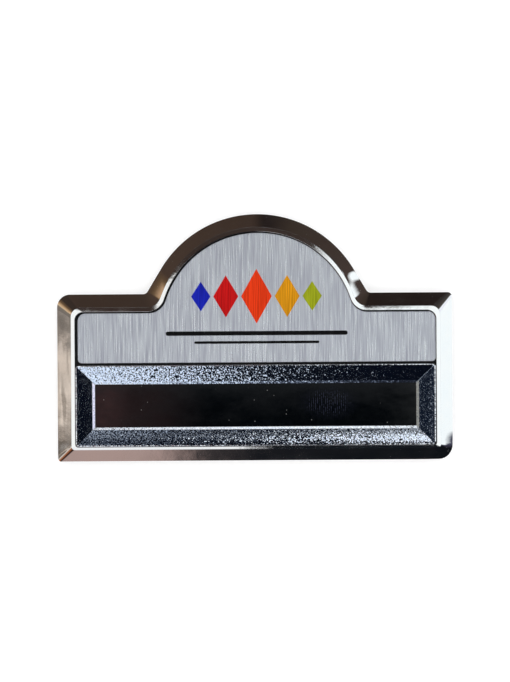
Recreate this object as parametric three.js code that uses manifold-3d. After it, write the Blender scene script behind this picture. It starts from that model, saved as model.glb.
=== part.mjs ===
// A domed name badge, lying on its back with its face up.
//
// The case is pressed from thin sheet. It has an upright skirt, a bevelled rim with a narrow flat
// crest, a shallow recess for the face plate and a deeper pocket for the name strip. It is hollow
// behind. The face plate is a thin brushed sheet. The name frame is a picture frame whose four
// bands slope down to the window, and it holds the name strip against the pocket's floor. A bar
// pin sits in the hollow, clear of the surface that the badge lies on.
//
// Millimetres, +Z up. +X is the wearer's left, +Y is the top of the badge when it is worn.
// Heights across the badge are counted from its bottom edge, and the whole badge is then moved so
// that the origin is under the middle of its bounding box, on the surface that it rests on.

import * as THREE from "three";
import { mergeVertices } from "three/addons/utils/BufferGeometryUtils.js";
import Module from "manifold-3d";

// Outline of the case
const bodyWidth = 70;
const shoulderHeight = 29.7; // from the bottom edge up to the shoulders beside the dome
const domeTop = 43.7; // from the bottom edge up to the top of the dome
const domeRadius = 19.9;
const domeShift = 0.45; // the dome stands this far to the +X side of the body's middle
const flankLean = 31; // degrees from upright, where the dome's arc runs out into straight flanks
const shoulderFillet = 0.8; // at the foot of the dome, on the outline
const outlineCorners = { bottomRight: 2.6, topRight: 0.9, topLeft: 2.4, bottomLeft: 0.7 };

// Section of the case
const sheet = 0.5; // thickness of the pressed sheet
const caseHeight = 4.0; // from the skirt's edge to the crest
const skirtHeight = 2.2; // the upright part below the bevel
const bottomSkirtHeight = 2.65; // it is higher along the bottom edge, under the narrower bevel
const bevelWidth = 2.5; // seen from the front, at the sides and the top
const bottomBevelWidth = 1.9; // the bevel along the bottom edge is narrower
const crestWidth = 0.75;
const recessShift = 0.2; // the recess is pressed this far to the +X side of the middle
const domeRecessShift = 0.05; // the recess's dome lies this far to the +X side of the outer dome
const flankEase = 0.65; // the rim is narrower by this on the dome's flanks than at its top
const recessFlankLean = 20; // degrees, as flankLean, on the recess
const recessFillet = 3.0; // at the foot of the dome, on the recess
const recessDepth = 0.75; // from the crest to the floor under the face plate
const recessCorners = { bottomRight: 0.6, topRight: 1.6, topLeft: 1.6, bottomLeft: 0.6 };

// Pieces that lie in the case
const glueGap = 0.05; // under each piece that is stuck down
const plateThickness = 0.45;
const plateGap = 0.24; // the dark line round the face plate, when it lies in the middle
const plateShift = 0.14; // the face plate lies this far to the +X side of its middle place
const plateCorners = { bottomRight: 0.7, topRight: 1.35, topLeft: 1.35, bottomLeft: 0.7 };
const frameTopEdge = 17.0; // from the bottom edge up to the top edge of the name frame
const frameToPlate = 0.42; // between the name frame and the face plate
const frameGap = 0.1; // between the name frame and the pocket's upper and lower walls
const frameSideGap = 0.22; // between the frame and the pocket's ends, when in the middle
const frameShift = -0.1; // the name frame lies this far to the +X side of its middle place
const pocketRelief = 0.15; // the pocket is wider than the recess by this, on each side
const pocketCorner = 0.6;
const frameProud = 0.15; // the name frame stands above the crest by this
const frameLand = 0.2; // flat edge round the top of the name frame
const bandWidth = 2.7; // one sloping band, seen from the front
const bandAngle = THREE.MathUtils.degToRad(20);
const lipWidth = 0.45; // the steeper edge round the window
const lipAngle = THREE.MathUtils.degToRad(30);
const lipEdge = 0.1; // upright edge below the lip
const frameCorner = 0.5;
const stripThickness = 0.5;
const stripOverlap = 0.8; // how far the name strip reaches under the lip
const stripGap = 0.1; // between the name strip and the frame's rebate, at its edges

// Bar pin
const pinHeight = 22.2; // from the bottom edge up to the line of the needle
const pinClearance = 0.15; // between the pin's lowest point and the surface below
const baseLength = 34;
const baseWidth = 5;
const baseThickness = 0.4;
const needleSpan = 27; // from the knuckle's middle to the middle of the catch
const needleDiameter = 0.7;
const needleTip = 2.2; // length of the point
const needlePastCatch = 2.6; // how far the point reaches past the middle of the catch
const knuckleDiameter = 2.0;
const knuckleLength = 3.6;
const catchLength = 3.0;
const catchSheet = 0.45;
const catchOpening = THREE.MathUtils.degToRad(70); // the gap where the needle slips in

// Number of straight steps in each kind of arc
const cornerSteps = 6;
const filletSteps = 8;
const domeSteps = 44;
const roundSteps = 16;

// Heights above the skirt's edge
const crestZ = caseHeight;
const recessFloorZ = crestZ - recessDepth;
const frameTopZ = crestZ + frameProud;
const bandLowZ = frameTopZ - bandWidth * Math.tan(bandAngle);
const lipLowZ = bandLowZ - lipWidth * Math.tan(lipAngle);
const rebateTopZ = lipLowZ - lipEdge;
const stripTopZ = rebateTopZ - glueGap;
const pocketFloorZ = stripTopZ - stripThickness - glueGap;
const frameBottomZ = pocketFloorZ + glueGap;
const backZ = recessFloorZ - sheet; // the back of the sheet behind the face plate

// Distances in from the outline
const recessInset = bevelWidth + crestWidth;
const recessBottomInset = bottomBevelWidth + crestWidth;
const above = 1; // a cutting solid runs this far past the surface that it opens

// Points from angle start to angle end on a circle, both ends among them.
function arc(x, y, radius, start, end, steps) {
  return Array.from({ length: steps + 1 }, (_, i) => {
    const angle = THREE.MathUtils.degToRad(start) + (THREE.MathUtils.degToRad(end - start) * i) / steps;
    return new THREE.Vector2(x + radius * Math.cos(angle), y + radius * Math.sin(angle));
  });
}

// The badge's outline moved in by inset, or by bottomInset along the bottom edge,
// counter-clockwise from the bottom right corner. Every outline has the same number of points.
// The further in it lies, the more it takes on the recess's shift, wider dome and larger fillets.
function badgeOutline(inset, bottomInset, corners) {
  const share = inset / recessInset;
  const left = recessShift * share - bodyWidth / 2 + inset;
  const right = recessShift * share + bodyWidth / 2 - inset;
  const shoulder = shoulderHeight - inset;
  const domeX = domeShift + domeRecessShift * share;
  const domeY = domeTop - domeRadius - flankEase * share;
  const dome = domeRadius - inset + flankEase * share;
  const fillet = shoulderFillet + (recessFillet - shoulderFillet) * share;
  const filletY = shoulder + fillet;
  const rise = filletY - domeY;
  // Below this lean the dome's arc would meet the fillet before its flank began.
  const leastLean = THREE.MathUtils.radToDeg(Math.asin(rise / (dome + fillet)));
  const lean = Math.max(flankLean + (recessFlankLean - flankLean) * share, leastLean);
  const leanAngle = THREE.MathUtils.degToRad(lean);
  const reach = (dome + fillet - rise * Math.sin(leanAngle)) / Math.cos(leanAngle);
  const { bottomRight, topRight, topLeft, bottomLeft } = corners;
  return [
    ...arc(right - bottomRight, bottomInset + bottomRight, bottomRight, -90, 0, cornerSteps),
    ...arc(right - topRight, shoulder - topRight, topRight, 0, 90, cornerSteps),
    ...arc(domeX + reach, filletY, fillet, -90, lean - 180, filletSteps),
    ...arc(domeX, domeY, dome, lean, 180 - lean, domeSteps),
    ...arc(domeX - reach, filletY, fillet, -lean, -90, filletSteps),
    ...arc(left + topLeft, shoulder - topLeft, topLeft, 90, 180, cornerSteps),
    ...arc(left + bottomLeft, bottomInset + bottomLeft, bottomLeft, 180, 270, cornerSteps),
  ];
}

// A rectangle with round corners, counter-clockwise from the bottom right corner.
function roundedRectangle(left, bottom, right, top, radius) {
  return [
    ...arc(right - radius, bottom + radius, radius, -90, 0, cornerSteps),
    ...arc(right - radius, top - radius, radius, 0, 90, cornerSteps),
    ...arc(left + radius, top - radius, radius, 90, 180, cornerSteps),
    ...arc(left + radius, bottom + radius, radius, 180, 270, cornerSteps),
  ];
}

function rectangle(left, bottom, right, top) {
  return [
    new THREE.Vector2(right, bottom),
    new THREE.Vector2(right, top),
    new THREE.Vector2(left, top),
    new THREE.Vector2(left, bottom),
  ];
}

// Triangles between ring a and ring b, which both have count points and turn the same way.
function bandFaces(a, b, count) {
  return Array.from({ length: count }, (_, i) => {
    const next = (i + 1) % count;
    return [a + i, a + next, b + next, a + i, b + next, b + i];
  }).flat();
}

function indexed(points, faces) {
  const geometry = new THREE.BufferGeometry();
  geometry.setAttribute("position", new THREE.Float32BufferAttribute(points, 3));
  geometry.setIndex(faces);
  return geometry;
}

// A closed solid through { outline, z } rings of the same number of points, lowest first.
// A ring may have a rise too, a function that gives how far each of its points stands above z.
function loft(rings) {
  const count = rings[0].outline.length;
  const points = rings.flatMap(({ outline, z, rise = () => 0 }) =>
    outline.flatMap((p) => [p.x, p.y, z + rise(p)]),
  );
  const sides = rings.slice(1).flatMap((_, k) => bandFaces(k * count, (k + 1) * count, count));
  const last = (rings.length - 1) * count;
  const floor = THREE.ShapeUtils.triangulateShape(rings[0].outline, []);
  const roof = THREE.ShapeUtils.triangulateShape(rings.at(-1).outline, []);
  const caps = [
    ...floor.flatMap(([a, b, c]) => [a, c, b]),
    ...roof.flatMap(([a, b, c]) => [last + a, last + b, last + c]),
  ];
  return indexed(points, [...sides, ...caps]);
}

// A straight-walled solid between two heights.
function prism(outline, low, high) {
  const shape = new THREE.Shape(outline);
  const geometry = new THREE.ExtrudeGeometry(shape, { depth: high - low, bevelEnabled: false });
  return geometry.translate(0, 0, low);
}

// A picture frame: a closed section of { inset, z } corners, carried round a rectangle.
function mitredFrame(left, bottom, right, top, section) {
  const rings = section.map(({ inset, z }) => ({
    outline: rectangle(left + inset, bottom + inset, right - inset, top - inset),
    z,
  }));
  const count = rings[0].outline.length;
  const points = rings.flatMap((ring) => ring.outline.flatMap((p) => [p.x, p.y, ring.z]));
  const faces = rings.flatMap((_, k) =>
    bandFaces(k * count, ((k + 1) % rings.length) * count, count),
  );
  return indexed(points, faces);
}

const wasm = await Module();
wasm.setup();

function toSolid(geometry) {
  const bare = new THREE.BufferGeometry();
  bare.setAttribute("position", geometry.getAttribute("position"));
  bare.setIndex(geometry.index);
  const merged = mergeVertices(bare, 1e-5);
  return new wasm.Manifold(
    new wasm.Mesh({
      numProp: 3,
      vertProperties: merged.attributes.position.array,
      triVerts: new Uint32Array(merged.index.array),
    }),
  );
}

function toGeometry(solid) {
  const mesh = solid.getMesh();
  const geometry = new THREE.BufferGeometry();
  geometry.setAttribute("position", new THREE.BufferAttribute(mesh.vertProperties, mesh.numProp));
  geometry.setIndex(new THREE.BufferAttribute(mesh.triVerts, 1));
  const flat = geometry.toNonIndexed();
  flat.computeVertexNormals();
  return flat;
}

// The pocket for the name frame, in the lower part of the recess.
const pocketHalf = bodyWidth / 2 - recessInset + pocketRelief;
const pocketBottom = recessBottomInset;
const pocketTop = frameTopEdge + frameGap;

// Case

// How far the bevel's foot stands above skirtHeight. It rises through the two bottom corners of an
// outline that is moved in by inset.
function footRise(p, inset) {
  const corner = p.x > 0 ? outlineCorners.bottomRight : outlineCorners.bottomLeft;
  return (bottomSkirtHeight - skirtHeight) * Math.max(0, 1 - (p.y - inset) / corner);
}

function makeCase() {
  const outer = badgeOutline(0, 0, outlineCorners);
  const outside = loft([
    { outline: outer, z: 0 },
    { outline: outer, z: skirtHeight, rise: (p) => footRise(p, 0) },
    { outline: badgeOutline(bevelWidth, bottomBevelWidth, recessCorners), z: crestZ },
  ]);

  const recess = prism(
    badgeOutline(recessInset, recessBottomInset, recessCorners),
    recessFloorZ,
    crestZ + above,
  );
  const pocket = prism(
    roundedRectangle(
      recessShift - pocketHalf,
      pocketBottom,
      recessShift + pocketHalf,
      pocketTop,
      pocketCorner,
    ),
    pocketFloorZ,
    crestZ + above,
  );

  // The hollow follows the skirt and the bevel one sheet thickness inside them, and stops at the
  // walls and floors that the recess and the pocket need.
  const inner = badgeOutline(sheet, sheet, outlineCorners);
  const wallInset = recessInset - sheet;
  const wallBottomInset = recessBottomInset - sheet;
  const bevelAngle = Math.atan2(crestZ - skirtHeight, bevelWidth);
  const hollowFootZ = skirtHeight + sheet * Math.tan(bevelAngle) - sheet / Math.cos(bevelAngle);
  const hollow = loft([
    { outline: inner, z: -above },
    { outline: inner, z: hollowFootZ, rise: (p) => footRise(p, sheet) },
    { outline: badgeOutline(wallInset, wallBottomInset, recessCorners), z: crestZ - sheet },
  ]);
  const keptRecess = prism(
    badgeOutline(wallInset, wallBottomInset, recessCorners),
    backZ,
    crestZ + above,
  );
  const keptPocket = prism(
    roundedRectangle(
      recessShift - pocketHalf - sheet,
      pocketBottom - sheet,
      recessShift + pocketHalf + sheet,
      pocketTop + sheet,
      pocketCorner + sheet,
    ),
    pocketFloorZ - sheet,
    crestZ + above,
  );
  const behind = toSolid(hollow).subtract(toSolid(keptRecess)).subtract(toSolid(keptPocket));
  return toSolid(outside).subtract(toSolid(recess)).subtract(toSolid(pocket)).subtract(behind);
}

// Face plate: the recess's outline less a gap, cut off straight above the name frame.

function makeFacePlate() {
  const inset = recessInset + plateGap;
  const bottom = frameTopEdge + frameToPlate;
  const low = recessFloorZ + glueGap;
  const plate = prism(badgeOutline(inset, bottom, plateCorners), low, low + plateThickness);
  return plate.translate(plateShift, 0, 0);
}

// Name frame

const frameHalf = pocketHalf - frameSideGap;
const frameLeft = recessShift + frameShift - frameHalf;
const frameRight = recessShift + frameShift + frameHalf;
const frameBottomEdge = pocketBottom + frameGap;
const windowInset = frameLand + bandWidth + lipWidth;

function makeNameFrame() {
  const rebateInset = windowInset - stripOverlap;
  const section = [
    { inset: 0, z: frameBottomZ },
    { inset: 0, z: frameTopZ },
    { inset: frameLand, z: frameTopZ },
    { inset: frameLand + bandWidth, z: bandLowZ },
    { inset: windowInset, z: lipLowZ },
    { inset: windowInset, z: rebateTopZ },
    { inset: rebateInset, z: rebateTopZ },
    { inset: rebateInset, z: frameBottomZ },
  ];
  const frame = mitredFrame(frameLeft, frameBottomEdge, frameRight, frameTopEdge, section);
  const roundCorners = prism(
    roundedRectangle(frameLeft, frameBottomEdge, frameRight, frameTopEdge, frameCorner),
    frameBottomZ - above,
    frameTopZ + above,
  );
  return toSolid(frame).intersect(toSolid(roundCorners));
}

// Name strip: a plain rectangle that fills the rebate under the lip.

function makeNameStrip() {
  const inset = windowInset - stripOverlap + stripGap;
  const outline = rectangle(
    frameLeft + inset,
    frameBottomEdge + inset,
    frameRight - inset,
    frameTopEdge - inset,
  );
  return prism(outline, stripTopZ - stripThickness, stripTopZ);
}

// Bar pin: base strip, knuckle, needle and rolled catch, all in one piece.

function makeBarPin() {
  const baseTop = backZ - glueGap;
  const baseBottom = baseTop - baseThickness;
  const knuckleX = -needleSpan / 2;
  const catchX = needleSpan / 2;
  const radius = knuckleDiameter / 2;
  const rollZ = pinClearance + radius;
  const needleRadius = needleDiameter / 2;
  const bite = 0.05; // how far joined pieces run into each other
  const needleZ = pinClearance + catchSheet + needleRadius - bite;

  const base = prism(
    roundedRectangle(
      -baseLength / 2,
      pinHeight - baseWidth / 2,
      baseLength / 2,
      pinHeight + baseWidth / 2,
      baseWidth / 2 - bite,
    ),
    baseBottom,
    baseTop,
  );

  const knuckle = new THREE.CylinderGeometry(radius, radius, knuckleLength, roundSteps);
  knuckle.translate(knuckleX, pinHeight, rollZ);
  const knuckleRise = baseBottom + bite - rollZ;
  const knuckleFoot = new THREE.BoxGeometry(knuckleDiameter, knuckleLength, knuckleRise);
  knuckleFoot.translate(knuckleX, pinHeight, rollZ + knuckleRise / 2);

  // The needle runs from inside the knuckle, through the catch, to its point.
  const shaftLength = needleSpan + needlePastCatch - needleTip;
  const shaft = new THREE.CylinderGeometry(needleRadius, needleRadius, shaftLength, roundSteps / 2);
  shaft.rotateZ(-Math.PI / 2);
  shaft.translate(knuckleX + shaftLength / 2, pinHeight, needleZ);
  const tip = new THREE.CylinderGeometry(bite, needleRadius, needleTip, roundSteps / 2);
  tip.rotateZ(-Math.PI / 2);
  tip.translate(knuckleX + shaftLength + needleTip / 2, pinHeight, needleZ);

  // The catch is a strip rolled round the needle, open on the +Y side.
  const openEnd = THREE.MathUtils.radToDeg(catchOpening);
  const roll = [
    ...arc(0, 0, radius, 90, 360 + 90 - openEnd, roundSteps),
    ...arc(0, 0, radius - catchSheet, 360 + 90 - openEnd, 90, roundSteps),
  ];
  const catchRoll = prism(roll, -catchLength / 2, catchLength / 2);
  // The roll is drawn in X and Y, and stands in Y and Z.
  catchRoll.applyMatrix4(
    new THREE.Matrix4().makeBasis(
      new THREE.Vector3(0, 1, 0),
      new THREE.Vector3(0, 0, 1),
      new THREE.Vector3(1, 0, 0),
    ),
  );
  catchRoll.translate(catchX, pinHeight, rollZ);
  const stemRise = baseBottom + bite - (rollZ + radius - catchSheet);
  const catchStem = new THREE.BoxGeometry(catchLength, catchSheet, stemRise);
  catchStem.translate(catchX, pinHeight - catchSheet / 2, baseBottom + bite - stemRise / 2);

  return [knuckle, knuckleFoot, shaft, tip, catchRoll, catchStem].reduce(
    (whole, piece) => whole.add(toSolid(piece)),
    toSolid(base),
  );
}

// Materials

const chrome = new THREE.MeshStandardMaterial({ color: 0xd4d6d8, roughness: 0.06, metalness: 1 });
const grainedChrome = new THREE.MeshStandardMaterial({
  color: 0xc4cad6,
  roughness: 0.28,
  metalness: 1,
});
const brushedAluminium = new THREE.MeshStandardMaterial({
  color: 0xb4b8c2,
  roughness: 0.42,
  metalness: 1,
});
const blackPlastic = new THREE.MeshStandardMaterial({ color: 0x0a0a0c, roughness: 0.15, metalness: 0 });
const nickel = new THREE.MeshStandardMaterial({ color: 0xbcb8ae, roughness: 0.22, metalness: 1 });

// Assembly

function addPiece(group, name, geometry, material) {
  const mesh = new THREE.Mesh(geometry, material);
  mesh.name = name;
  group.add(mesh);
}

const badge = new THREE.Group();
badge.position.y = -domeTop / 2;
addPiece(badge, "case", toGeometry(makeCase()), chrome);
addPiece(badge, "face_plate", makeFacePlate(), brushedAluminium);
addPiece(badge, "name_frame", toGeometry(makeNameFrame()), grainedChrome);
addPiece(badge, "name_strip", makeNameStrip(), blackPlastic);
addPiece(badge, "bar_pin", toGeometry(makeBarPin()), nickel);

const part = new THREE.Group();
part.add(badge);

export default part;
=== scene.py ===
"""A domed name badge of chromed, pressed sheet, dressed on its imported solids.

Every length is in millimetres until a mesh is made. X runs along the badge, Y up it and Z out of
its face. Heights across the badge are counted from its bottom edge.
"""

import math

import bmesh
import bpy
import numpy as np
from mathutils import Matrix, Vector, noise


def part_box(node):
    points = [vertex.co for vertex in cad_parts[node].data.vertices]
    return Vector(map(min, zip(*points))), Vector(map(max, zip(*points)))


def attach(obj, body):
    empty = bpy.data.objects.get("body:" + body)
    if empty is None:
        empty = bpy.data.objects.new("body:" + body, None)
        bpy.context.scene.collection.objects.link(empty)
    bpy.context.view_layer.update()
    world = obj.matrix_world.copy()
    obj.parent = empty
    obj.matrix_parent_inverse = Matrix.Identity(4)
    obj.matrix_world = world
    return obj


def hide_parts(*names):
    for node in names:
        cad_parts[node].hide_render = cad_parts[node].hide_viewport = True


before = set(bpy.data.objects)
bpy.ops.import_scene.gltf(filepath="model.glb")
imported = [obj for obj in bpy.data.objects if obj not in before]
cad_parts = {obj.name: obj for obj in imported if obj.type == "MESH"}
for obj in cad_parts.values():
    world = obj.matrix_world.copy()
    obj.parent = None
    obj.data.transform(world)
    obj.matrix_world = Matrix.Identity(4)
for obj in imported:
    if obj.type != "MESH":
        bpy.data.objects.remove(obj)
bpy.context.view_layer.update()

MM = 0.001
BODY = "root"


def box_mm(node):
    low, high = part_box(node)
    return np.array(low) / MM, np.array(high) / MM


case_low, case_high = box_mm("case")
plate_low, plate_high = box_mm("face_plate")
band_low, band_high = box_mm("name_frame")
strip_low, strip_high = box_mm("name_strip")

# Outline of the case
BODY_WIDTH = case_high[0] - case_low[0]
DOME_TOP = case_high[1] - case_low[1]
SHOULDER_HEIGHT = 29.7
DOME_RADIUS = 19.9
DOME_SHIFT = 0.45
FLANK_LEAN = 31.0
SHOULDER_FILLET = 0.8
OUTLINE_CORNERS = (2.6, 0.9, 2.4, 0.7)  # bottom right, top right, top left, bottom left
RECESS_CORNERS = (0.6, 1.6, 1.6, 0.6)
PLATE_CORNERS = (0.7, 1.35, 1.35, 0.7)

# Section of the case
SHEET = 0.5
CREST_Z = case_high[2]
SKIRT_HEIGHT = 2.2
BOTTOM_SKIRT_HEIGHT = 2.44
BEVEL_WIDTH = 2.5
BOTTOM_BEVEL_WIDTH = 2.18
CREST_WIDTH = 0.75
BOTTOM_CREST_WIDTH = 0.47
LEFT_EASE = 0.13  # the crest is this much narrower on the left
CREST_FALL = 0.02  # the crest falls this much toward the bevel
RECESS_INSET = BEVEL_WIDTH + CREST_WIDTH
RECESS_SHIFT = 0.2
DOME_RECESS_SHIFT = 0.05
FLANK_EASE = 0.65
RECESS_FLANK_LEAN = 20.0
RECESS_FILLET = 3.0
GLUE_GAP = 0.05
RECESS_FLOOR_Z = plate_low[2] - GLUE_GAP
POCKET_FLOOR_Z = band_low[2] - GLUE_GAP
POCKET_RELIEF = 0.15
FRAME_GAP = 0.1
POCKET_TOP = band_high[1] - case_low[1] + FRAME_GAP

# Name frame
FRAME_LAND = 0.2
FRAME_CORNER = 0.5
BAND_WIDTH = 2.7
BAND_ANGLE = math.radians(20)
BAND_CROWN = 0.045  # the band bulges this much across its width
LIP_WIDTH = 0.45
LIP_ANGLE = math.radians(30)
LIP_EDGE = 0.1
STRIP_OVERLAP = 0.8
WINDOW_INSET = FRAME_LAND + BAND_WIDTH + LIP_WIDTH
FRAME_LEAST_CORNER = 0.03
FRAME_STEPS = (560, 124, 6)  # along X, along Y and round a corner, close enough for the grain
FRAME_SMOOTH = math.radians(35)  # edges sharper than this stay sharp
GRAIN_HEIGHT = 0.003

# Name strip
STRIP_CORNER = 0.3
STRIP_LEAST_CORNER = 0.05
STRIP_STEPS = (1, 1, 5)

# Mesh helpers

NEAR = 0.01  # a ring this near a wall or a floor belongs to it
GUARD = 0.02  # how far a guard ring stands from the end of a rounding
SLAB_RIM = 0.3  # the flat rim inside the rounded edge of a plate or strip


def mesh_object(name, points_mm, faces, finishes=None, smooth_angle=math.radians(30)):
    """A mesh object from points in millimetres, smooth except along sharp edges."""
    mesh = bpy.data.meshes.new(name)
    points = np.asarray(points_mm, float) * MM
    mesh.from_pydata(points.tolist(), [], [list(map(int, f)) for f in faces])
    if finishes is not None:
        mesh.polygons.foreach_set("material_index", finishes)
    work = bmesh.new()
    work.from_mesh(mesh)
    bmesh.ops.remove_doubles(work, verts=work.verts, dist=1e-7)
    bmesh.ops.dissolve_degenerate(work, edges=work.edges, dist=1e-8)
    bmesh.ops.triangulate(work, faces=[f for f in work.faces if len(f.verts) > 4])
    bmesh.ops.recalc_face_normals(work, faces=work.faces)
    work.to_mesh(mesh)
    work.free()
    mesh.shade_smooth()
    mesh.set_sharp_from_angle(angle=smooth_angle)
    made = bpy.data.objects.new(name, mesh)
    bpy.context.scene.collection.objects.link(made)
    return made


def ring_faces(rings, count, closed=False):
    """Quads between neighbouring rings of count points each."""
    pairs = [(k, k + 1) for k in range(rings - 1)]
    if closed:
        pairs.append((rings - 1, 0))
    steps = np.arange(count)
    after = (steps + 1) % count
    faces = []
    for a, b in pairs:
        here, there = a * count, b * count
        quads = np.stack([here + steps, here + after, there + after, there + steps], 1)
        faces.extend(quads.tolist())
    return faces


def arc(x, y, radius, start, end, steps):
    """Points on an arc in degrees, without its last one."""
    angle = np.radians(np.linspace(start, end, steps + 1)[:-1])
    return np.stack([x + radius * np.cos(angle), y + radius * np.sin(angle)], 1)


def line(start, end, steps):
    """Points along a straight line, without its last one."""
    share = np.linspace(0, 1, steps + 1)[:-1, None]
    return np.asarray(start) * (1 - share) + np.asarray(end) * share


def rounded_rectangle(left, bottom, right, top, radius, along, up, turn):
    """Counter-clockwise from the bottom right corner, with so many steps on each stretch."""
    return np.concatenate(
        [
            arc(right - radius, bottom + radius, radius, -90, 0, turn),
            line((right, bottom + radius), (right, top - radius), up),
            arc(right - radius, top - radius, radius, 0, 90, turn),
            line((right - radius, top), (left + radius, top), along),
            arc(left + radius, top - radius, radius, 90, 180, turn),
            line((left, top - radius), (left, bottom + radius), up),
            arc(left + radius, bottom + radius, radius, 180, 270, turn),
            line((left + radius, bottom), (right - radius, bottom), along),
        ]
    )


def rounded_section(corners):
    """Rounds the corners of an open section.

    A corner is its inset and height, its radius, the steps round it and the rings after it.
    """
    points = [np.array(c[:2], float) for c in corners]
    made = []
    for k, (_, _, radius, steps, _) in enumerate(corners):
        here = points[k]
        if radius == 0 or k in (0, len(corners) - 1):
            turn = [here]
        else:
            back = points[k - 1] - here
            ahead = points[k + 1] - here
            back, ahead = back / np.linalg.norm(back), ahead / np.linalg.norm(ahead)
            half = math.acos(np.clip(back @ ahead, -1, 1)) / 2
            reach = radius / math.tan(half)
            middle = here + (back + ahead) / np.linalg.norm(back + ahead) * radius / math.sin(half)
            first, last = here + back * reach - middle, here + ahead * reach - middle
            sweep = math.acos(np.clip(first @ last / radius**2, -1, 1))
            turn = [
                middle
                + (math.sin((1 - s) * sweep) * first + math.sin(s * sweep) * last) / math.sin(sweep)
                for s in np.linspace(0, 1, steps + 1)
            ]
            # A ring close to each end keeps the rounding's shading off the flat faces.
            turn = [turn[0] + back * GUARD, *turn, turn[-1] + ahead * GUARD]
        between = corners[k - 1][4]
        if made and between:
            shares = np.linspace(0, 1, between + 2)[1:-1]
            made += [made[-1] * (1 - s) + turn[0] * s for s in shares]
        made += turn
    return made


def slab_section(low, high, rounding, steps):
    """The edge of a flat slab, rounded at the top."""
    return rounded_section(
        [(0, low, 0, 0, 1), (0, high, rounding, steps, 0), (SLAB_RIM, high, 0, 0, 0)]
    )


def slab_object(name, rings):
    """A slab through rings of points, with its bottom and its top closed."""
    count = len(rings[0])
    last = (len(rings) - 1) * count
    faces = ring_faces(len(rings), count)
    faces += [list(range(count))[::-1], list(range(last, last + count))]
    return mesh_object(name, np.concatenate(rings), faces)


def inset_rectangle(low, high, inset, corner, steps):
    """The outline of a box seen from above, moved in, with rounded corners."""
    return rounded_rectangle(
        low[0] + inset, low[1] + inset, high[0] - inset, high[1] - inset, corner, *steps
    )


def grain(x, y, z, size):
    """Smooth noise from -1 to 1 with features of about size millimetres."""
    return noise.noise(Vector((x / size, y / size, z / size)))


# Outline of the badge, and the steps along each of its stretches

SIDE_LOW = 44
SIDE_HIGH = 32
SHOULDER = 44
FILLET = 16
FLANK = 12
DOME = 180
CORNER = 12
BOTTOM = 200


def badge_outline(inset, bottom_inset, corners, break_y, relief=0.0, left_ease=0.0):
    """Points round the badge, moved in, counter-clockwise from the bottom right corner.

    The two sides have a double point at break_y. Below it they stand relief further out. The left
    side stands left_ease further out along its whole height. Returns the points, the index of the
    first point above the break on the right, and that of the first point below it on the left.
    """
    share = inset / RECESS_INSET
    left = RECESS_SHIFT * share - BODY_WIDTH / 2 + inset - left_ease
    right = RECESS_SHIFT * share + BODY_WIDTH / 2 - inset
    shoulder = SHOULDER_HEIGHT - inset
    dome_x = DOME_SHIFT + DOME_RECESS_SHIFT * share
    dome_y = DOME_TOP - DOME_RADIUS - FLANK_EASE * share
    dome = DOME_RADIUS - inset + FLANK_EASE * share
    fillet = SHOULDER_FILLET + (RECESS_FILLET - SHOULDER_FILLET) * share
    fillet_y = shoulder + fillet
    rise = fillet_y - dome_y
    least_lean = math.degrees(math.asin(rise / (dome + fillet)))
    lean = max(FLANK_LEAN + (RECESS_FLANK_LEAN - FLANK_LEAN) * share, least_lean)
    up, out = math.sin(math.radians(lean)), math.cos(math.radians(lean))
    reach = (dome + fillet - rise * up) / out
    flank_foot = np.array([reach - fillet * out, rise - fillet * up])
    flank_top = np.array([dome * out, dome * up])
    middle = np.array([dome_x, dome_y])
    mirror = np.array([-1, 1])
    low_right, high_right, high_left, low_left = corners
    spread = np.array([relief, 0])
    stretches = [
        arc(right - low_right, bottom_inset + low_right, low_right, -90, 0, CORNER) + spread,
        line((right, bottom_inset + low_right), (right, break_y), SIDE_LOW) + spread,
        np.array([[right + relief, break_y]]),
        line((right, break_y), (right, shoulder - high_right), SIDE_HIGH),
        arc(right - high_right, shoulder - high_right, high_right, 0, 90, CORNER),
        line((right - high_right, shoulder), (dome_x + reach, shoulder), SHOULDER),
        arc(dome_x + reach, fillet_y, fillet, -90, lean - 180, FILLET),
        line(middle + flank_foot, middle + flank_top, FLANK),
        arc(dome_x, dome_y, dome, lean, 180 - lean, DOME),
        line(middle + flank_top * mirror, middle + flank_foot * mirror, FLANK),
        arc(dome_x - reach, fillet_y, fillet, -lean, -90, FILLET),
        line((dome_x - reach, shoulder), (left + high_left, shoulder), SHOULDER),
        arc(left + high_left, shoulder - high_left, high_left, 90, 180, CORNER),
        line((left, shoulder - high_left), (left, break_y), SIDE_HIGH),
        np.array([[left, break_y]]),
        line((left, break_y), (left, bottom_inset + low_left), SIDE_LOW) - spread,
        arc(left + low_left, bottom_inset + low_left, low_left, 180, 270, CORNER) - spread,
        line(
            (left + low_left - relief, bottom_inset),
            (right - low_right + relief, bottom_inset),
            BOTTOM,
        ),
    ]
    counts = np.cumsum([0] + [len(s) for s in stretches])
    return np.concatenate(stretches), counts[3], counts[15]


def bottom_share(inset):
    """How far in the bottom edge lies where the sides lie inset in."""
    if inset < BEVEL_WIDTH:
        return inset * BOTTOM_BEVEL_WIDTH / BEVEL_WIDTH
    return BOTTOM_BEVEL_WIDTH + (inset - BEVEL_WIDTH) * BOTTOM_CREST_WIDTH / CREST_WIDTH


# Case: one closed pressing

# The third finish is glue with painted shade: dark colour for the narrow gaps round the plate and
# the frame.
CHROME, DULL, GLUE_AND_SHADE = 0, 1, 2


def foot_share(flat, inset):
    """1 along the bottom edge and 0 along the sides, by way of the two bottom corners."""
    corner = np.where(flat[:, 0] > 0, OUTLINE_CORNERS[0] / 2, OUTLINE_CORNERS[3])
    return np.clip(1 - (flat[:, 1] - bottom_share(inset)) / corner, 0, 1)


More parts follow.
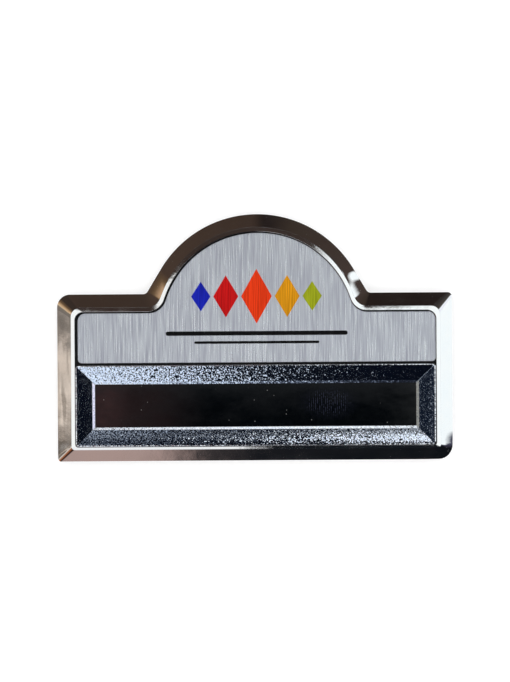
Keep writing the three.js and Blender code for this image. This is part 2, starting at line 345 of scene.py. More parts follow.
def outer_section():
    """The skin that shows, from the skirt's foot to the recess's floor."""
    return rounded_section(
        [
            (SHEET, 0, 0, 0, 0),
            (0, 0, 0.1, 3, 3),
            (0, SKIRT_HEIGHT, 0.4, 7, 10),
            (BEVEL_WIDTH, CREST_Z - CREST_FALL, 0.03, 3, 2),
            (RECESS_INSET, CREST_Z, 0.03, 3, 1),
            (RECESS_INSET, RECESS_FLOOR_Z, 0, 0, 0),
        ]
    )[1:]


def inner_section(hollow_foot):
    """The skin of the hollow behind, from the recess's floor back to the skirt's foot."""
    wall = RECESS_INSET - SHEET
    return rounded_section(
        [
            (SHEET, 0, 0, 0, 2),
            (SHEET, hollow_foot, 0.3, 4, 4),
            (wall, CREST_Z - SHEET, 0.15, 3, 1),
            (wall, RECESS_FLOOR_Z - SHEET, 0, 0, 0),
        ]
    )[::-1]


def case_ring(inset, z, foot, behind):
    """Points of one ring of the skin that lies so far behind the outer one.

    The bevel starts at the height foot, and higher along the bottom edge. The recess's floor steps
    down to the pocket at the indices that are also returned.
    """
    wall_inset = RECESS_INSET - behind
    on_wall = inset > wall_inset - NEAR
    at_floor = on_wall and z < RECESS_FLOOR_Z - behind + NEAR
    mix = min(1, inset / BEVEL_WIDTH)
    corners = [a + (b - a) * mix for a, b in zip(OUTLINE_CORNERS, RECESS_CORNERS)]
    relief = POCKET_RELIEF if on_wall else 0
    left_ease = LEFT_EASE * min(1, max(0, 1 - (wall_inset - inset) / CREST_WIDTH))
    flat, above_right, below_left = badge_outline(
        inset, bottom_share(inset), corners, POCKET_TOP + behind, relief, left_ease
    )
    lifted = min(1, z / foot) * max(0, 1 - (inset - behind) / (BEVEL_WIDTH - behind))
    height = z + (BOTTOM_SKIRT_HEIGHT - SKIRT_HEIGHT) * lifted * foot_share(flat, inset)
    if at_floor:
        height[:above_right] -= RECESS_FLOOR_Z - POCKET_FLOOR_Z
        height[below_left:] -= RECESS_FLOOR_Z - POCKET_FLOOR_Z
    if behind == 0 and z > SKIRT_HEIGHT / 2:
        height = height + press_waves(flat, inset)
    points = np.column_stack([flat[:, 0], flat[:, 1] + case_low[1], height])
    return points, above_right, below_left


def make_case():
    bevel_angle = math.atan2(CREST_Z - SKIRT_HEIGHT, BEVEL_WIDTH)
    hollow_foot = SKIRT_HEIGHT + SHEET * math.tan(bevel_angle) - SHEET / math.cos(bevel_angle)
    inner = [case_ring(inset, z, hollow_foot, SHEET) for inset, z in inner_section(hollow_foot)]
    outer = [case_ring(inset, z, SKIRT_HEIGHT, 0) for inset, z in outer_section()]
    points = [ring for ring, _, _ in inner + outer]
    _, above_right, below_left = outer[-1]
    count = len(points[0])
    faces = ring_faces(len(points), count)
    finishes = [DULL] * ((len(inner) - 1) * count)
    finishes += [CHROME] * ((len(outer) - 1) * count)
    # The recess's walls and floor get the dark glue and painted shade of the narrow gaps.
    finishes += [GLUE_AND_SHADE] * count
    # The two floors, one of each skin, have an upper part, a lower part and a step between them.
    for ring, flip, finish in ((0, 1, DULL), (len(points) - 1, -1, GLUE_AND_SHADE)):
        start = ring * count
        end = start + count
        upper = list(range(start + above_right, start + below_left))
        lower = list(range(start + below_left, end)) + list(range(start, start + above_right))
        step = [upper[0], upper[-1], lower[0], lower[-1]]
        faces += [upper[::-flip], lower[::-flip], step[::-flip]]
        finishes += [finish] * 3
    return mesh_object("pressed_case", np.concatenate(points), faces, finishes)


# Unevenness of the pressing

WAVE_HEIGHT = 0.008
RIDGE_HEIGHT = 0.016
SWELL_HEIGHT = 0.19
SWELL_X = (6.0, 12.0)  # where it rises from 0 to full height
SWELL_Y = (31.5, 33.8)
SWELL_TOP = (34.2, 42.0)  # where it dies out upward
DROOP = 0.26
DROOP_X = (30.0, 33.0)
DROOP_TOP = (1.0, 5.6)
SKIRT_CALM = 0.5  # the waves grow to full height over this much of the bevel's foot
CREST_CALM = 0.7  # and die out over this much of its top
CREST_REACH = 0.2  # which ends this far into the crest


def ease(value, low, high):
    """0 below low, 1 above high, and a smooth rise between them."""
    share = np.clip((value - low) / (high - low), 0, 1)
    return share * share * (3 - 2 * share)


def press_waves(flat, inset):
    """The small waves that pressing leaves in the bevel. They die out at the skirt and the crest."""
    x, y = flat[:, 0], flat[:, 1]
    free = min(1, inset / SKIRT_CALM)
    free *= min(1, max(0, (BEVEL_WIDTH + CREST_REACH - inset) / CREST_CALM))
    waves = np.array([grain(a, b, 3.0, 5.0) + 0.35 * grain(a, b, 9.0, 1.9) for a, b in flat])
    height = WAVE_HEIGHT * free * (waves - 0.4)
    # The left side is the most uneven. It has shallow ridges along its length.
    left = x < -BODY_WIDTH / 2 + BEVEL_WIDTH + 0.5
    ridges = [grain(2.2 * a, 0.35 * b, 5.0, 2.2) if on else 0.0 for (a, b), on in zip(flat, left)]
    height += free * (RIDGE_HEIGHT * np.array(ridges) + np.where(left, WAVE_HEIGHT * waves, 0))
    # A swelling where the dome meets its right flank, and a droop of the lower right corner
    outer = max(0, 1 - inset / BEVEL_WIDTH)
    swell = ease(y, *SWELL_Y) * (1 - ease(y, *SWELL_TOP)) * ease(x, *SWELL_X)
    height += SWELL_HEIGHT * outer**0.5 * swell
    droop = (1 - ease(y, *DROOP_TOP)) * ease(x, *DROOP_X)
    return height - DROOP * outer * droop


# Face plate

PLATE_BREAK = 4.0  # where the outline's double points lie, above the plate's bottom edge
PLATE_LEAST_CORNER = 0.2
UV_SPAN = 0.07  # metres across the whole UV square


def make_plate():
    low, high = plate_low[2], plate_high[2]
    inset = BODY_WIDTH / 2 - (plate_high[0] - plate_low[0]) / 2
    shift = (plate_high[0] + plate_low[0]) / 2 - RECESS_SHIFT * inset / RECESS_INSET
    bottom = plate_low[1] - case_low[1]
    rings = []
    for step, z in slab_section(low, high, 0.06, 4):
        corners = [max(PLATE_LEAST_CORNER, c - step) for c in PLATE_CORNERS]
        flat, _, _ = badge_outline(inset + step, bottom + step, corners, bottom + PLATE_BREAK)
        x, y = flat[:, 0] + shift, flat[:, 1] + case_low[1]
        rings.append(np.column_stack([x, y, np.full(len(flat), z)]))
    plate = slab_object("brushed_plate", rings)
    add_flat_uv(plate)
    return plate


def add_flat_uv(piece):
    """U runs along X, so that the brushed finish knows its direction."""
    uv = piece.data.uv_layers.new(name="along")
    for loop in piece.data.loops:
        x, y, _ = piece.data.vertices[loop.vertex_index].co
        uv.data[loop.index].uv = (x / UV_SPAN + 0.5, y / UV_SPAN + 0.5)


# Printed ornament: a row of lozenges over two rules

INKS = [
    ("blue_ink", (14, 30, 178)),
    ("red_ink", (198, 4, 6)),
    ("orange_ink", (232, 56, 4)),
    ("amber_ink", (220, 148, 6)),
    ("green_ink", (158, 168, 20)),
    ("black_ink", (10, 10, 12)),
]
LOZENGE_WIDTHS = (3.4, 4.4, 5.4, 4.4, 3.4)
LOZENGE_HEIGHTS = (5.2, 7.4, 9.6, 7.4, 5.2)
LOZENGE_SPACE = 0.5
LOZENGES_Y = 7.2
RULES = [  # middle height, length, thickness
    (0.7, 32.0, 0.75),
    (-0.9, 22.0, 0.45),
]
RULE_ROUNDING = 0.45  # of a rule's thickness
INK_THICKNESS = 0.02
INK_GAP = 0.004  # keeps the ink's underside off the plate


def ornament_shapes():
    """The outline of each printed shape, with the number of its ink."""
    middle = (plate_low[0] + plate_high[0]) / 2
    shapes = []
    x = middle - (sum(LOZENGE_WIDTHS) + LOZENGE_SPACE * (len(LOZENGE_WIDTHS) - 1)) / 2
    for ink, (width, height) in enumerate(zip(LOZENGE_WIDTHS, LOZENGE_HEIGHTS)):
        x += width / 2
        corners = [(x + width / 2, LOZENGES_Y), (x, LOZENGES_Y + height / 2)]
        corners += [(x - width / 2, LOZENGES_Y), (x, LOZENGES_Y - height / 2)]
        shapes.append((ink, corners))
        x += width / 2 + LOZENGE_SPACE
    for y, length, thick in RULES:
        left, right = middle - length / 2, middle + length / 2
        low, high = y - thick / 2, y + thick / 2
        rule = rounded_rectangle(left, low, right, high, thick * RULE_ROUNDING, 1, 1, 6)
        shapes.append((len(INKS) - 1, rule.tolist()))
    return shapes


def make_ornament():
    points, faces, finishes = [], [], []
    low = plate_high[2] + INK_GAP
    for ink, outline in ornament_shapes():
        start, count = len(points), len(outline)
        top = start + count
        points += [(px, py, low) for px, py in outline]
        points += [(px, py, low + INK_THICKNESS) for px, py in outline]
        faces += [[start + k for k in face] for face in ring_faces(2, count)]
        faces += [list(range(start, top))[::-1], list(range(top, top + count))]
        finishes += [ink] * (count + 2)
    return mesh_object("printed_ornament", points, faces, finishes)


# Name frame


def make_name_frame():
    top = band_high[2]
    bottom = band_low[2]
    band_foot = top - BAND_WIDTH * math.tan(BAND_ANGLE)
    lip_foot = band_foot - LIP_WIDTH * math.tan(LIP_ANGLE)
    rebate = lip_foot - LIP_EDGE
    rebate_inset = WINDOW_INSET - STRIP_OVERLAP
    section = rounded_section(
        [
            (0, bottom, 0, 0, 2),
            (0, top, 0.05, 3, 0),
            (FRAME_LAND, top, 0.05, 2, 26),
            (FRAME_LAND + BAND_WIDTH, band_foot, 0.12, 2, 4),
            (WINDOW_INSET, lip_foot, 0.05, 2, 0),
            (WINDOW_INSET, rebate, 0, 0, 0),
            (rebate_inset, rebate, 0, 0, 0),
            (rebate_inset, bottom, 0, 0, 0),
        ]
    )
    points = []
    for inset, z in section:
        corner = max(FRAME_LEAST_CORNER, FRAME_CORNER - inset)
        ring = inset_rectangle(band_low, band_high, inset, corner, FRAME_STEPS)
        height = np.full(len(ring), z)
        share = (inset - FRAME_LAND) / BAND_WIDTH
        if z > rebate + NEAR and share > 0:
            height += BAND_CROWN * max(0, 4 * share * (1 - share)) + cast_grain(ring, share)
        points.append(np.column_stack([ring, height]))
    count = len(points[0])
    faces = ring_faces(len(section), count, closed=True)
    return mesh_object("grained_frame", np.concatenate(points), faces, smooth_angle=FRAME_SMOOTH)


def cast_grain(ring, share):
    """The rough cast surface of a band, calmer at its edges and on the lip."""
    calm = 0.15 + 0.85 * min(1, share * 8) * min(1, max(0, (1.0 - share) * 8))
    rough = [grain(x, y, 1.0, 0.4) + 0.4 * grain(x, y, 7.0, 0.9) for x, y in ring]
    return GRAIN_HEIGHT * calm * np.array(rough)


# Name strip


def make_name_strip():
    rings = []
    for inset, z in slab_section(strip_low[2], strip_high[2], 0.08, 3):
        corner = max(STRIP_LEAST_CORNER, STRIP_CORNER - inset)
        ring = inset_rectangle(strip_low, strip_high, inset, corner, STRIP_STEPS)
        rings.append(np.column_stack([ring, np.full(len(ring), z)]))
    return slab_object("black_strip", rings)


# Materials and surroundings


def srgb(red, green, blue):
    """A colour given as it is read on a screen, from 0 to 255, in linear light."""
    parts = [c / 255 for c in (red, green, blue)]
    return tuple(c / 12.92 if c <= 0.04045 else ((c + 0.055) / 1.055) ** 2.4 for c in parts)


class Nodes:
    """A node tree with short ways to add the nodes that this script uses."""

    def __init__(self, tree):
        self.tree = tree

    def node(self, kind, values=None, **settings):
        made = self.tree.nodes.new(kind)
        for key, value in settings.items():
            setattr(made, key, value)
        for socket, value in (values or {}).items():
            made.inputs[socket].default_value = value
        return made

    def link(self, source, target):
        self.tree.links.new(source, target)

    def feed(self, sockets, values):
        """Sets each socket to its number or colour, or links the output given for it."""
        for socket, value in zip(sockets, values):
            if isinstance(value, (int, float)):
                socket.default_value = value
            elif isinstance(value, tuple):
                socket.default_value = (*value, 1)
            else:
                self.link(value, socket)

    def math(self, operation, *values):
        made = self.node("ShaderNodeMath", operation=operation)
        self.feed(made.inputs, values)
        return made.outputs["Value"]

    def spread(self, value, low, high, new_low=0.0, new_high=1.0, smooth=False):
        """Maps a value from one range to another, held at its ends."""
        made = self.node("ShaderNodeMapRange")
        made.interpolation_type = "SMOOTHSTEP" if smooth else "LINEAR"
        sockets = [made.inputs[k] for k in ("Value", "From Min", "From Max", "To Min", "To Max")]
        self.feed(sockets, (value, low, high, new_low, new_high))
        return made.outputs["Result"]

    def blend(self, share, first, second):
        made = self.node("ShaderNodeMix", data_type="RGBA")
        self.feed((made.inputs[0], made.inputs[6], made.inputs[7]), (share, first, second))
        return made.outputs[2]

    def ramp(self, value, stops, low, high):
        """A colour for each value from low to high, blended between (value, colour) stops."""
        made = self.node("ShaderNodeValToRGB")
        self.link(self.spread(value, low, high), made.inputs["Fac"])
        marks = made.color_ramp.elements
        marks.remove(marks[1])
        for k, (place, color) in enumerate(stops):
            mark = marks[0] if k == 0 else marks.new(1.0)
            mark.position = (place - low) / (high - low)
            mark.color = (*srgb(*color), 1)
        return made.outputs["Color"]


class Finish(Nodes):
    """A material round one Principled shader."""

    def __init__(self, name, **values):
        self.material = bpy.data.materials.new(name)
        self.material.use_nodes = True
        super().__init__(self.material.node_tree)
        self.shader = self.tree.nodes["Principled BSDF"]
        for socket, value in values.items():
            self.shader.inputs[socket.replace("_", " ")].default_value = value

    def place(self, scale, shift=(0, 0, 0)):
        """The position on the piece in millimetres, times scale along each axis, plus shift."""
        where = self.node("ShaderNodeTexCoord")
        size = self.node("ShaderNodeMapping")
        size.inputs["Scale"].default_value = [s / MM for s in scale]
        size.inputs["Location"].default_value = shift
        self.link(where.outputs["Object"], size.inputs["Vector"])
        return size.outputs["Vector"]

    def noise(self, scale, detail, roughness=0.5):
        """Noise with about scale features to the millimetre, given once or for each axis."""
        values = {"Scale": 1.0, "Detail": detail, "Roughness": roughness}
        made = self.node("ShaderNodeTexNoise", values)
        scale = scale if isinstance(scale, tuple) else (scale,) * 3
        self.link(self.place(scale), made.inputs["Vector"])
        return made.outputs["Fac"]

    def bump(self, height, strength, depth_mm):
        made = self.node("ShaderNodeBump", {"Strength": strength, "Distance": depth_mm * MM})
        self.link(height, made.inputs["Height"])
        self.link(made.outputs["Normal"], self.shader.inputs["Normal"])

    def sparkle(self, per_mm, amount):
        """Turns the surface a little this way and that, in cells as fine as per_mm says."""
        cells = self.node("ShaderNodeTexNoise", {"Scale": 1.0, "Detail": 0.0})
        self.link(self.place((per_mm,) * 3), cells.inputs["Vector"])
        centred = self.node("ShaderNodeVectorMath", {1: (0.5, 0.5, 0.5)}, operation="SUBTRACT")
        self.link(cells.outputs["Color"], centred.inputs[0])
        lean = self.node("ShaderNodeVectorMath", {"Scale": amount}, operation="SCALE")
        self.link(centred.outputs["Vector"], lean.inputs["Vector"])
        surface = self.node("ShaderNodeNewGeometry")
        leaning = self.node("ShaderNodeVectorMath", operation="ADD")
        self.link(surface.outputs["Normal"], leaning.inputs[0])
        self.link(lean.outputs["Vector"], leaning.inputs[1])
        unit = self.node("ShaderNodeVectorMath", operation="NORMALIZE")
        self.link(leaning.outputs["Vector"], unit.inputs["Vector"])
        self.link(unit.outputs["Vector"], self.shader.inputs["Normal"])

    def use(self, output, socket):
        self.link(output, self.shader.inputs[socket])


def polished_chrome():
    chrome = Finish("polished_chrome", Metallic=1.0)
    smudge = chrome.noise(0.25, detail=4.0, roughness=0.6)
    chrome.use(chrome.spread(smudge, 0.4, 0.75, 0.03, 0.09), "Roughness")
    tint = chrome.noise(0.4, detail=3.0, roughness=0.6)
    chrome.use(chrome.blend(tint, srgb(236, 238, 240), srgb(244, 242, 240)), "Base Color")
    chrome.bump(chrome.noise(0.9, detail=3.0, roughness=0.55), 0.25, 0.01)
    return chrome.material


def gap_glue_and_painted_shade():
    """Glue and painted shadow in the narrow gaps round the plate and the frame: its dark colour
    stands in for the shade there.
    """
    shaded_gap = Finish("gap_glue_and_painted_shade", Metallic=0.0)
    spots = shaded_gap.noise(1.4, detail=4.0, roughness=0.6)
    share = shaded_gap.spread(spots, 0.35, 0.7)
    # These near-black colours are painted shade, mottled with spots of glue.
    shaded_gap.use(shaded_gap.blend(share, srgb(7, 9, 12), srgb(34, 33, 34)), "Base Color")
    shaded_gap.use(shaded_gap.spread(spots, 0.35, 0.7, 0.5, 0.8), "Roughness")
    return shaded_gap.material


def dull_back():
    back = Finish("dull_back", Metallic=1.0)
    cloud = back.noise(0.3, detail=5.0, roughness=0.65)
    back.use(back.spread(cloud, 0.3, 0.7, 0.28, 0.45), "Roughness")
    back.use(back.blend(cloud, srgb(150, 148, 145), srgb(190, 188, 186)), "Base Color")
    back.bump(back.noise(3.0, detail=3.0, roughness=0.6), 0.4, 0.02)
    return back.material


def brush_streaks(metal):
    """Brushing that runs along Y, as a value from 0 to 1: hairlines among broader streaks."""
    hair = metal.math("MULTIPLY", metal.noise((11.0, 0.26, 1.0), detail=0.0), 0.4)
    line = metal.math("MULTIPLY", metal.noise((7.6, 0.15, 1.0), detail=0.0), 0.5)
    broad = metal.math("MULTIPLY", metal.noise((3.1, 0.06, 1.0), detail=1.0), 0.1)
    streaks = metal.math("ADD", metal.math("ADD", hair, line), broad)
    return metal.spread(streaks, 0.36, 0.64)


def brushed_aluminium():
    metal = Finish("brushed_aluminium", Metallic=0.8, Anisotropic=0.75)
    streaks = brush_streaks(metal)
    metal.use(metal.blend(streaks, srgb(210, 213, 226), srgb(244, 249, 255)), "Base Color")
    metal.use(metal.spread(streaks, 0.0, 1.0, 0.38, 0.27), "Roughness")
    along = metal.node("ShaderNodeTangent", direction_type="UV_MAP", uv_map="along")
    metal.use(along.outputs["Tangent"], "Tangent")
    metal.bump(streaks, 0.07, 0.01)
    return metal.material


INK_DARKEST = 0.72
INK_LIGHTEST = 1.22
INK_LEAST = 0.004


def printed_ink(name, color):
    """Ink on the brushed sheet, which still shows through it as fine streaks."""
    ink = Finish(name, Metallic=0.08, Specular_IOR_Level=0.12)
    streaks = brush_streaks(ink)
    dark = tuple(INK_DARKEST * c for c in srgb(*color))
    light = tuple(min(1.0, INK_LIGHTEST * c + INK_LEAST) for c in srgb(*color))
    ink.use(ink.blend(streaks, dark, light), "Base Color")
    ink.use(ink.spread(streaks, 0.0, 1.0, 0.6, 0.5), "Roughness")
    ink.bump(streaks, 0.25, 0.012)
    return ink.material


def grained_chrome():
    chrome = Finish("grained_chrome", Metallic=1.0)
    patch = chrome.noise(0.5, detail=3.0, roughness=0.6)
    chrome.use(chrome.spread(patch, 0.35, 0.7, 0.02, 0.045), "Roughness")
    fine = chrome.spread(chrome.noise(4.6, detail=0.0), 0.36, 0.64)
    chrome.use(chrome.blend(fine, srgb(224, 229, 238), srgb(252, 253, 255)), "Base Color")
    chrome.sparkle(4.4, 0.135)
    return chrome.material


# A faint fingerprint on the name strip: its middle, and its reach along X and Y

PRINT_MIDDLE = (13.0, -11.6)
PRINT_REACH = (6.2, 3.5)


def dust(gloss):
    """Small round specks, of which only some show."""
    cells = gloss.node("ShaderNodeTexVoronoi", {"Scale": 1.0, "Randomness": 1.0})
    gloss.link(gloss.place((0.9, 0.9, 0.9)), cells.inputs["Vector"])
    chance = gloss.node("ShaderNodeSeparateColor")
    gloss.link(cells.outputs["Color"], chance.inputs["Color"])
    speck = gloss.spread(cells.outputs["Distance"], 0.03, 0.1, 1.0, 0.0)
    shown = gloss.spread(chance.outputs["Red"], 0.7, 1.0, 0.0, 0.9)
    return gloss.math("MULTIPLY", speck, shown)


def fingerprint(gloss):
    """Broken ridges that fade out from the print's middle."""
    scale = [1 / reach for reach in PRINT_REACH]
    shift = [-middle / reach for middle, reach in zip(PRINT_MIDDLE, PRINT_REACH)]
    away = gloss.node("ShaderNodeVectorMath", operation="LENGTH")
    gloss.link(gloss.place((*scale, 0), (*shift, 0)), away.inputs["Vector"])
    near = gloss.spread(away.outputs["Value"], 0.3, 1.0, 1.0, 0.0, smooth=True)
    waves = {"Scale": 0.9, "Distortion": 5.0, "Detail": 2.0, "Detail Scale": 0.35}
    ridges = gloss.node("ShaderNodeTexWave", waves)
    gloss.link(gloss.place((1.0, 0.22, 0)), ridges.inputs["Vector"])
    mark = gloss.math("MULTIPLY", near, gloss.spread(ridges.outputs["Fac"], 0.5, 1.0))
    breaks = gloss.noise(2.6, detail=2.0, roughness=0.6)
    mark = gloss.math("MULTIPLY", mark, gloss.spread(breaks, 0.38, 0.6))
    return gloss.math("MULTIPLY", mark, 0.95)


def black_gloss():
    gloss = Finish("black_gloss", IOR=1.5)
    lint = gloss.noise(1.5, detail=4.0, roughness=0.6)
    color = gloss.blend(gloss.spread(lint, 0.45, 0.8), srgb(1, 3, 5), srgb(9, 12, 14))
    color = gloss.blend(fingerprint(gloss), color, srgb(44, 46, 62))
    color = gloss.blend(dust(gloss), color, srgb(150, 150, 148))
    gloss.use(color, "Base Color")
    haze = gloss.noise((0.18, 0.3, 0.2), detail=4.0, roughness=0.6)
    gloss.use(gloss.spread(haze, 0.35, 0.7, 0.04, 0.09), "Roughness")
    return gloss.material


def satin_nickel():
    nickel = Finish("satin_nickel", Metallic=1.0)
    scratch = nickel.noise((0.4, 6.0, 6.0), detail=3.0, roughness=0.6)
    nickel.use(nickel.spread(scratch, 0.3, 0.7, 0.16, 0.34), "Roughness")
    nickel.use(nickel.blend(scratch, srgb(176, 172, 164), srgb(214, 210, 202)), "Base Color")
    nickel.bump(scratch, 0.3, 0.01)
    return nickel.material


# What the chrome mirrors. Low down and on the light strip above it, colours go by azimuth in
# degrees, with 0 toward +X and 90 toward +Y. A ramp is kept as 256 steps, which are 1.41 degrees
# here, so a sharp change needs two stops about that far apart.

NEAR_HORIZON = [
    (-180, (194, 180, 168)),
    (-178.6, (222, 207, 193)),
    (-177.2, (74, 64, 56)),
    (-175.8, (236, 230, 224)),
    (-155, (196, 128, 88)),
    (-130, (176, 112, 78)),
    (-112, (36, 28, 24)),
    (-101, (160, 138, 130)),
    (-92.9, (168, 145, 139)),
    (-91.8, (88, 79, 78)),
    (-91.2, (24, 25, 29)),
    (-86, (13, 16, 20)),
    (-20, (14, 16, 20)),
    (-13, (46, 44, 54)),
    (-6.4, (66, 66, 84)),
    (-5, (244, 251, 253)),
    (24.8, (246, 252, 254)),
    (26, (66, 55, 51)),
    (72, (54, 45, 39)),
    (82, (36, 29, 27)),
    (86.5, (32, 25, 23)),
    (89.5, (50, 39, 33)),
    (92.5, (58, 46, 39)),
    (149, (68, 54, 46)),
    (153, (92, 72, 52)),
    (158, (200, 164, 128)),
    (162, (228, 202, 172)),
    (168, (120, 110, 96)),
    (178.8, (120, 112, 106)),
    (180, (156, 146, 137)),
]
LIGHT_STRIP = [
    (-180, (138, 138, 132)),
    (-174, (138, 138, 132)),
    (-168, (176, 150, 128)),
    (-150, (150, 88, 56)),
    (-132, (60, 34, 24)),
    (-118, (16, 12, 12)),
    (-101, (150, 130, 124)),
    (-96, (220, 232, 246)),
    (-93, (206, 220, 238)),
    (-90.5, (104, 114, 132)),
    (-88, (52, 58, 70)),
    (-86, (30, 34, 44)),
    (-80, (16, 18, 24)),
    (-30, (20, 21, 28)),
    (-14, (96, 92, 96)),
    (-5, (222, 220, 238)),
    (6, (222, 220, 238)),
    (29, (240, 246, 250)),
    (34, (70, 64, 60)),
    (70, (40, 38, 38)),
    (82, (56, 50, 46)),
    (85, (244, 249, 252)),
    (95, (212, 216, 222)),
    (98, (50, 41, 36)),
    (138, (54, 44, 38)),
    (150, (104, 82, 60)),
    (158, (186, 152, 114)),
    (166, (206, 176, 140)),
    (171, (240, 232, 220)),
    (175, (138, 136, 128)),
    (180, (138, 138, 132)),
]

# Higher up, places go by side and forth, which are X and Y over Z of the direction looked in.
# Each patch reaches from side_a to side_b and from forth_a to forth_b, with soft edges, and says
# what part of it is light, or its colour.

HALF_WAY = [
    # side_a, side_b, forth_a, forth_b, soft, light
    (-0.4, -0.054, -1.6, -0.4, 0.11, 1.0),
    (-0.5, -0.066, 0.4, 1.6, 0.03, 0.28),
    (-0.5, 0.5, 0.4, 1.6, 0.05, 0.04),
    (0.0, 0.5, 0.4, 1.6, 0.05, 0.05),
    (0.055, 0.5, 0.79, 1.6, 0.03, 0.26),
    (0.024, 0.5, 0.64, 0.785, 0.03, 0.32),
    (0.045, 0.5, 0.64, 0.785, 0.03, 0.6),
    (0.062, 0.5, 0.57, 0.79, 0.02, 0.3),
    (-1.5, -0.5, -0.4, 0.4, 0.1, 0.09),
    (0.5, 1.5, -0.4, 0.4, 0.1, 0.04),
]
OVERHEAD = [
    # side_a, side_b, forth_a, forth_b, soft, colour
    (-0.5, 0.5, 0.03, 0.5, 0.02, (54, 44, 40)),
    (-0.5, -0.1, -0.5, 0.06, 0.01, (246, 248, 247)),
    (-0.5, -0.068, 0.03, 0.06, 0.006, (246, 248, 247)),
    (0.066, 0.5, 0.02, 0.097, 0.01, (248, 254, 255)),
    (0.044, 0.5, 0.02, 0.07, 0.004, (248, 254, 255)),
    (0.078, 0.5, -0.085, 0.097, 0.006, (248, 254, 255)),
    (-0.5, -0.002, -0.5, -0.07, 0.006, (236, 238, 241)),
    (-0.086, 0.088, -0.0175, -0.008, 0.006, (206, 212, 220)),
    (-0.075, -0.058, -0.045, -0.0175, 0.012, (230, 172, 172)),
    (-0.058, -0.036, -0.045, -0.0175, 0.02, (150, 118, 118)),
]

# The elevations in degrees over which one kind of place gives way to the next
HORIZON = (-2, 0)
STRIP_START = (24, 26)
HALF_WAY_START = (37, 40)
OVERHEAD_START = (68, 74)

BELOW_HORIZON = (236, 237, 239)
DARKEST_OVERHEAD = (18, 22, 27)
MIRROR_GAIN = 1.14  # chrome gives back a little less light than it gets
PAPER = (250, 250, 250)


class Surroundings(Nodes):
    """The world: what each direction looks like."""

    def __init__(self, world):
        super().__init__(world.node_tree)
        where = self.node("ShaderNodeTexCoord")
        split = self.node("ShaderNodeSeparateXYZ")
        self.direction = where.outputs["Generated"]
        self.link(self.direction, split.inputs["Vector"])
        x, y, z = split.outputs
        self.leftward = self.math("MULTIPLY", x, -1.0)
        self.elevation = self.math("MULTIPLY", self.math("ARCSINE", z), 180 / math.pi)
        self.azimuth = self.math("MULTIPLY", self.math("ARCTAN2", y, x), 180 / math.pi)
        up = self.math("MAXIMUM", z, 0.05)  # keeps side and forth finite at the horizon
        self.side = self.math("DIVIDE", x, up)
        self.forth = self.math("DIVIDE", y, up)

    def between(self, value, low, high, soft):
        """1 between low and high and 0 outside them."""
        rise = self.spread(value, low - soft / 2, low + soft / 2, smooth=True)
        fall = self.spread(value, high - soft / 2, high + soft / 2, 1.0, 0.0, smooth=True)
        return self.math("MULTIPLY", rise, fall)

    def patch(self, side_a, side_b, forth_a, forth_b, soft):
        across = self.between(self.side, side_a, side_b, soft)
        return self.math("MULTIPLY", across, self.between(self.forth, forth_a, forth_b, soft))

    def half_way(self):
        """Dark, with light specks that cover the part of each patch that its row says."""
        across = (-0.1, 0.1)
        light = 0.0
        for *reach, share in HALF_WAY:
            light = self.math("ADD", light, self.math("MULTIPLY", self.patch(*reach), share))
        specks = self.node("ShaderNodeTexNoise", {"Scale": 30.0, "Detail": 1.0, "Roughness": 0.5})
        self.link(self.direction, specks.inputs["Vector"])
        level = self.spread(light, 0.0, 1.0, 0.26, 0.74)
        over = self.math("SUBTRACT", level, specks.outputs["Fac"])
        shown = self.spread(over, -0.03, 0.03, smooth=True)
        shades = [(-0.09, (54, 60, 72)), (-0.055, (14, 20, 32)), (-0.025, (5, 9, 19))]
        lights = [(-0.09, (214, 226, 242)), (0.09, (232, 240, 249))]
        dark = self.ramp(self.side, shades, *across)
        bright = self.ramp(self.side, lights, *across)
        dark = self.blend(self.patch(-0.5, -0.055, -1.6, -0.4, 0.06), dark, srgb(150, 163, 182))
        dark = self.blend(self.spread(self.leftward, 0.4, 0.5), dark, srgb(13, 21, 33))
        return self.blend(shown, dark, bright)

    def overhead(self):
        seen = srgb(*DARKEST_OVERHEAD)
        for *reach, color in OVERHEAD:
            seen = self.blend(self.patch(*reach), seen, srgb(*color))
        return seen

    def low_down(self):
        seen = self.ramp(self.azimuth, NEAR_HORIZON, -180, 180)
        # Toward -X there are things of many shades.
        things = self.node("ShaderNodeTexNoise", {"Scale": 20.0, "Detail": 1.0, "Roughness": 0.5})
        self.link(self.direction, things.inputs["Vector"])
        shade = self.spread(things.outputs["Fac"], 0.42, 0.64, 0.0, 0.5, smooth=True)
        toward = self.spread(self.leftward, 0.93, 0.95)
        return self.blend(self.math("MULTIPLY", shade, toward), seen, srgb(92, 84, 74))

    def above(self, start, lower, upper):
        share = self.spread(self.elevation, *start, smooth=True)
        return self.blend(share, lower, upper)

    def whole(self):
        """Everything from below the horizon, as pale as the floor, up to overhead."""
        strip = self.ramp(self.azimuth, LIGHT_STRIP, -180, 180)
        seen = self.above(STRIP_START, self.low_down(), strip)
        seen = self.above(HALF_WAY_START, seen, self.half_way())
        seen = self.above(OVERHEAD_START, seen, self.overhead())
        return self.above(HORIZON, srgb(*BELOW_HORIZON), seen)


def add_world():
    """Mirrors see the surroundings. Everything else sees even, pale light."""
    world = bpy.data.worlds.new("surroundings")
    bpy.context.scene.world = world
    world.use_nodes = True
    around = Surroundings(world)
    ray = around.node("ShaderNodeLightPath")
    mirrored = around.node("ShaderNodeVectorMath", {"Scale": MIRROR_GAIN}, operation="SCALE")
    around.link(around.whole(), mirrored.inputs["Vector"])
    seen = around.blend(ray.outputs["Is Glossy Ray"], srgb(*PAPER), mirrored.outputs["Vector"])
    around.link(seen, world.node_tree.nodes["Background"].inputs["Color"])


FLOOR_SIZE = 3.0  # in metres


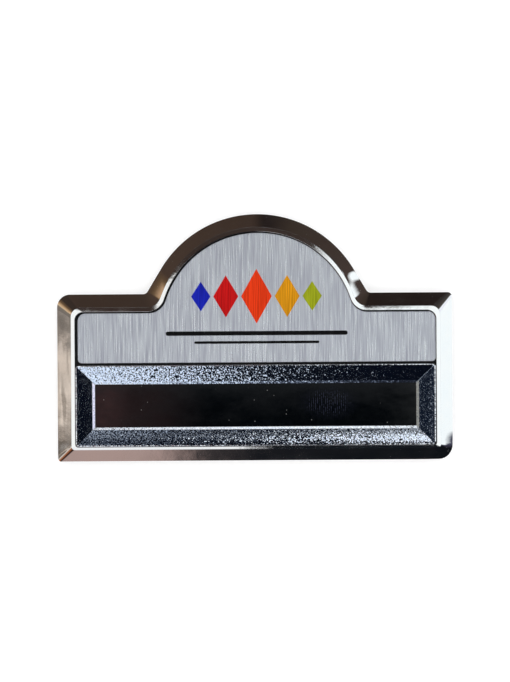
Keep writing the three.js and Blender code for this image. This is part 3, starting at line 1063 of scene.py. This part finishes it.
def add_floor():
    bpy.ops.mesh.primitive_plane_add(size=FLOOR_SIZE, location=(0, 0, 0))
    floor = bpy.context.object
    floor.name = "floor"
    paper = Finish("floor_paper", Roughness=0.9)
    paper.shader.inputs["Base Color"].default_value = (*srgb(244, 244, 244), 1)
    paper.shader.inputs["Emission Color"].default_value = (*srgb(*PAPER), 1)
    paper.shader.inputs["Emission Strength"].default_value = 0.35
    floor.data.materials.append(paper.material)


# The photograph's frame, and where and how large the badge is in it, in pixels

FRAME_WIDTH, FRAME_HEIGHT = 510, 682
BADGE_WIDTH_PX = 396.2
BADGE_CENTRE_PX = (254.7, 337.15)
ROLL = math.radians(0.38)
CAMERA_HEIGHT = 400.0
SENSOR_HEIGHT = 36.0
CLIP = (0.01, 10)  # in metres


def add_camera():
    mm_per_px = BODY_WIDTH / BADGE_WIDTH_PX
    # The badge is at its widest where its skirt ends.
    distance = CAMERA_HEIGHT - SKIRT_HEIGHT
    camera = bpy.data.cameras.new("camera")
    camera.sensor_fit = "VERTICAL"
    camera.sensor_height = SENSOR_HEIGHT
    camera.lens = SENSOR_HEIGHT * distance / (FRAME_HEIGHT * mm_per_px)
    camera.clip_start, camera.clip_end = CLIP
    holder = bpy.data.objects.new("camera", camera)
    bpy.context.scene.collection.objects.link(holder)
    across = (FRAME_WIDTH / 2 - BADGE_CENTRE_PX[0]) * mm_per_px
    upward = (BADGE_CENTRE_PX[1] - FRAME_HEIGHT / 2) * mm_per_px
    x = across * math.cos(ROLL) + upward * math.sin(ROLL)
    y = upward * math.cos(ROLL) - across * math.sin(ROLL)
    holder.location = (x * MM, y * MM, CAMERA_HEIGHT * MM)
    holder.rotation_euler = (0, 0, -ROLL)
    bpy.context.scene.camera = holder


def dress(piece, materials, node=None):
    """Gives a piece its materials and its body, and hides the node that it stands for."""
    for material in materials:
        piece.data.materials.append(material)
    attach(piece, BODY)
    if node:
        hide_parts(node)


add_camera()
add_world()
add_floor()
bpy.context.scene.view_settings.view_transform = "Standard"

case_materials = [polished_chrome(), dull_back(), gap_glue_and_painted_shade()]  # as CHROME, DULL, GLUE_AND_SHADE
dress(make_case(), case_materials, "case")
dress(make_plate(), [brushed_aluminium()], "face_plate")
dress(make_ornament(), [printed_ink(*row) for row in INKS])
dress(make_name_frame(), [grained_chrome()], "name_frame")
dress(make_name_strip(), [black_gloss()], "name_strip")

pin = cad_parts["bar_pin"]
pin.data.materials.clear()
pin.data.materials.append(satin_nickel())
